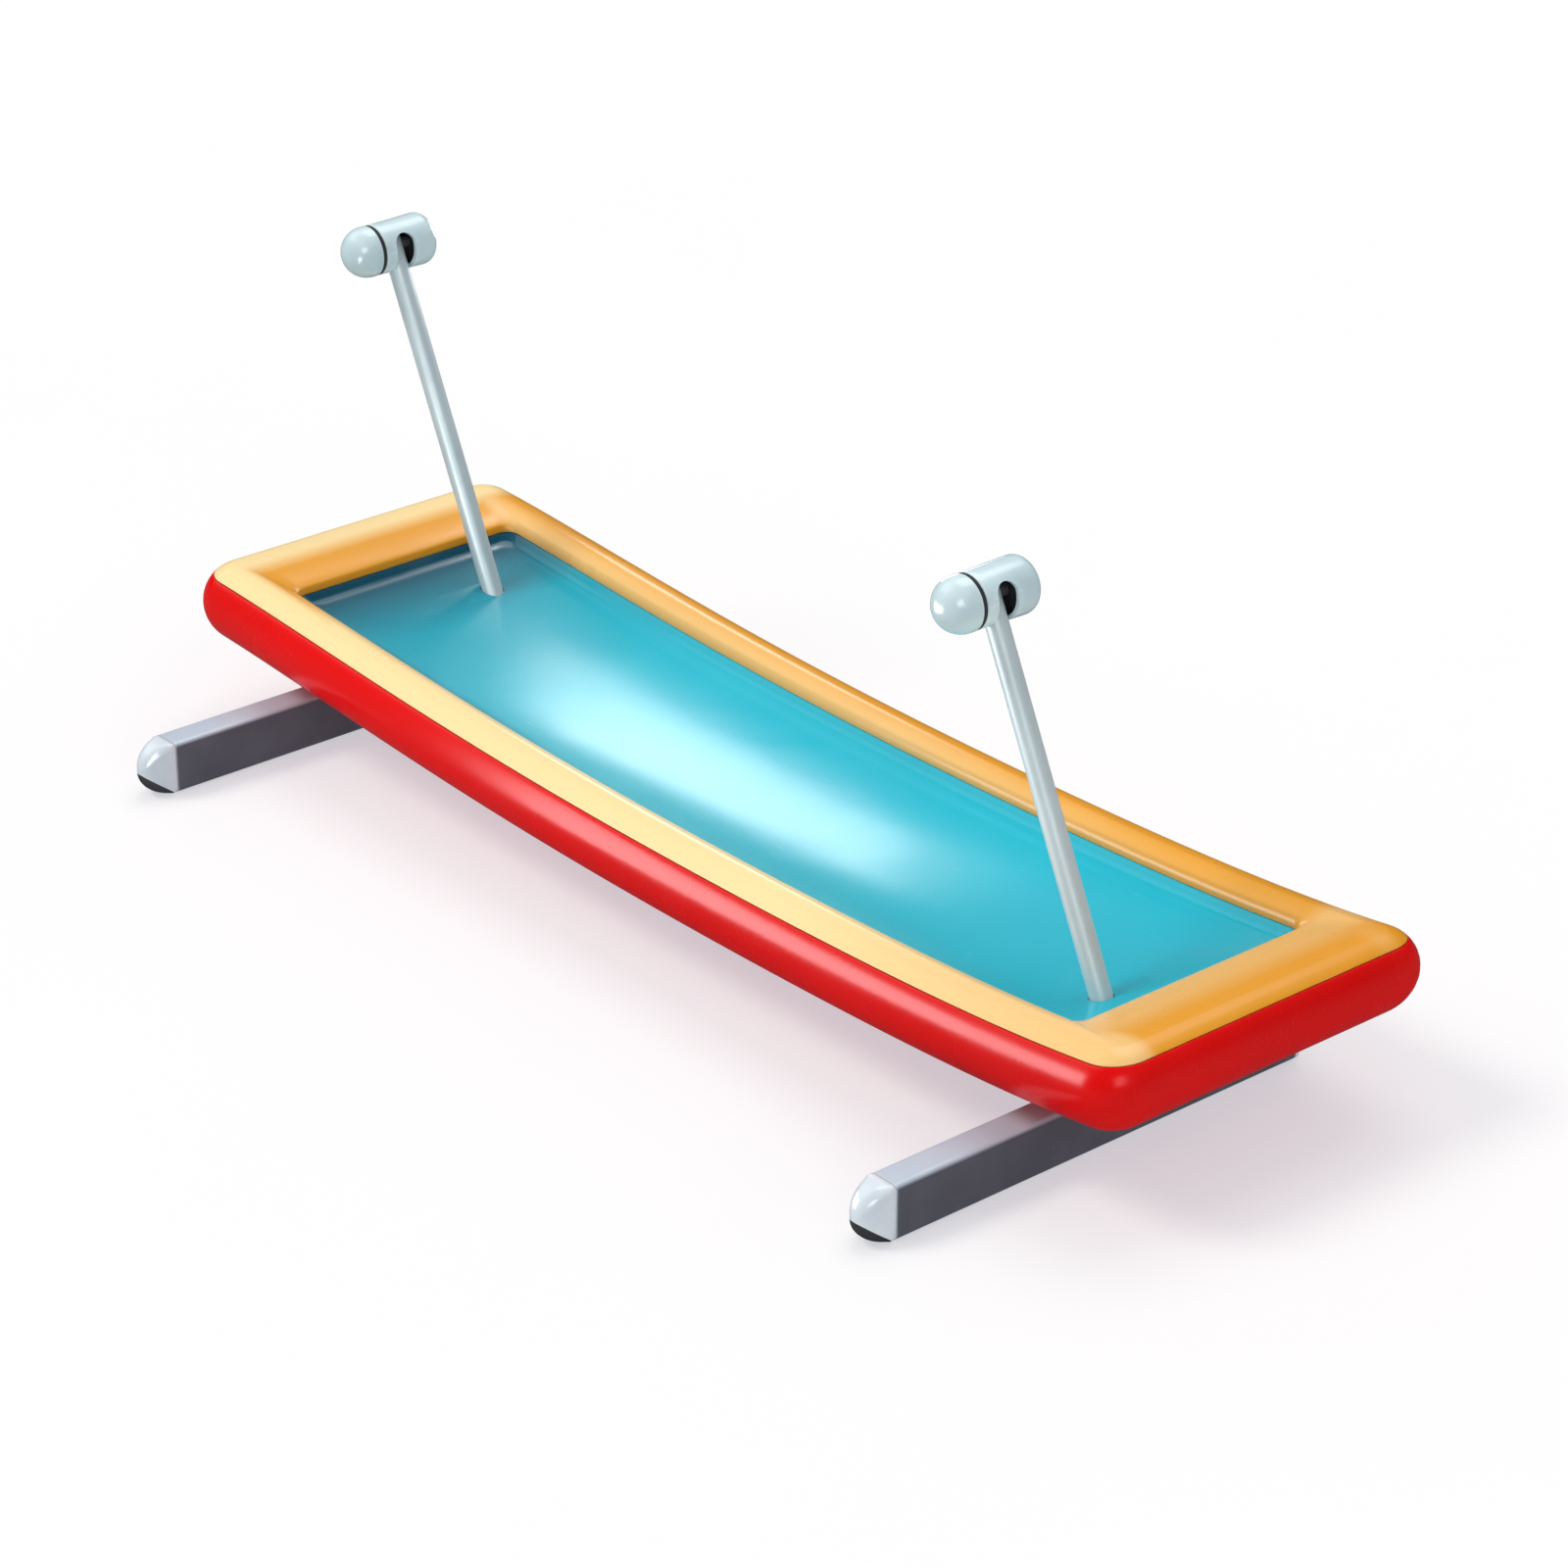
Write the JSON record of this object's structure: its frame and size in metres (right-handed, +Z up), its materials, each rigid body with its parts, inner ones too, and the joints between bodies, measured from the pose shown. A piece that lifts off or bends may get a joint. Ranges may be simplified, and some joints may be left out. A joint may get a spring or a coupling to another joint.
{
  "type": "seesaw",
  "caption": "Low two-child seesaw: a boat-shaped deck with a dished seat tray and leaning handles, tilting on a rubber torsion pivot over a steel floor frame.",
  "frame": {"origin": "on the floor straight under the tilt pivot, on the underside of the pivot floor plate", "axes": "+X along the board towards its right end, +Y across the board towards the short end of the feet, +Z up"},
  "size_m": [1.6284, 0.6501, 0.569],
  "materials": {
    "red_shell": "glossy red gel coat",
    "yellow_shell": "glossy warm yellow",
    "teal_shell": "glossy teal",
    "foot_steel": "cool grey satin steel",
    "grey_cap": "light grey moulded plastic",
    "black_rubber": "matt",
    "zinc_steel": "zinc plated",
    "nylon": "natural nylon",
    "grip_plastic": "pale blue-grey, smooth",
    "rod_steel": "satin steel tube",
    "dark_steel": "dark grey powder coat"
  },
  "bodies": {
    "floor_frame": {"base_rail_far": "dark_steel", "base_rail_near": "dark_steel", "cheek_bolt_far_left": "zinc_steel", "cheek_bolt_far_right": "zinc_steel", "cheek_bolt_near_left": "zinc_steel", "cheek_bolt_near_right": "zinc_steel", "left_bump_pad": "black_rubber", "left_flange_bolt_far": "zinc_steel", "left_flange_bolt_near": "zinc_steel", "left_foot": "foot_steel", "left_foot_cap_far": "grey_cap", "left_foot_cap_near": "grey_cap", "left_foot_shoe_far": "black_rubber", "left_foot_shoe_near": "black_rubber", "left_rail_flange": "dark_steel", "pivot_cheek_far": "dark_steel", "pivot_cheek_near": "dark_steel", "pivot_floor_plate": "dark_steel", "right_bump_pad": "black_rubber", "right_flange_bolt_far": "zinc_steel", "right_flange_bolt_near": "zinc_steel", "right_foot": "foot_steel", "right_foot_cap_far": "grey_cap", "right_foot_cap_near": "grey_cap", "right_foot_shoe_far": "black_rubber", "right_foot_shoe_near": "black_rubber", "right_rail_flange": "dark_steel", "torsion_bar": "zinc_steel", "torsion_bar_bolt_far": "zinc_steel", "torsion_bar_bolt_near": "zinc_steel"},
    "deck": {"deck_spine": "dark_steel", "hull_bolt_left": "zinc_steel", "hull_bolt_right": "zinc_steel", "hull_shell": "red_shell", "left_crossmember": "dark_steel", "left_handle_bolt": "zinc_steel", "left_handle_rod": "rod_steel", "left_handle_socket": "dark_steel", "left_spindle": "zinc_steel", "pivot_housing": "dark_steel", "pivot_plate": "dark_steel", "right_crossmember": "dark_steel", "right_handle_bolt": "zinc_steel", "right_handle_rod": "rod_steel", "right_handle_socket": "dark_steel", "right_spindle": "zinc_steel", "rim_cover": "yellow_shell", "rubber_cord_1": "black_rubber", "rubber_cord_2": "black_rubber", "rubber_cord_3": "black_rubber", "rubber_cord_4": "black_rubber", "seat_pan_left": "teal_shell", "seat_pan_middle": "teal_shell", "seat_pan_right": "teal_shell"},
    "left_grip_unit": {"left_grip": "grip_plastic", "left_grip_bush": "nylon", "left_grip_cap": "grip_plastic"},
    "right_grip_unit": {"right_grip": "grip_plastic", "right_grip_bush": "nylon", "right_grip_cap": "grip_plastic"}
  },
  "joints": [
    {"name": "seesaw_tilt", "type": "hinge", "parent": "floor_frame", "child": "deck", "pos_m": [0, 0, 0.05], "axis": [0, 1, 0], "range_deg": [-1.9, 1.9], "stiffness_Nm_per_rad": 600},
    {"name": "left_grip_roll", "type": "hinge", "parent": "deck", "child": "left_grip_unit", "pos_m": [-0.781, 0.068, 0.537], "axis": [0, 1, 0], "range_deg": [0, 80]},
    {"name": "right_grip_roll", "type": "hinge", "parent": "deck", "child": "right_grip_unit", "pos_m": [0.44, -0.068, 0.537], "axis": [0, 1, 0], "range_deg": [0, 80]}
  ]
}
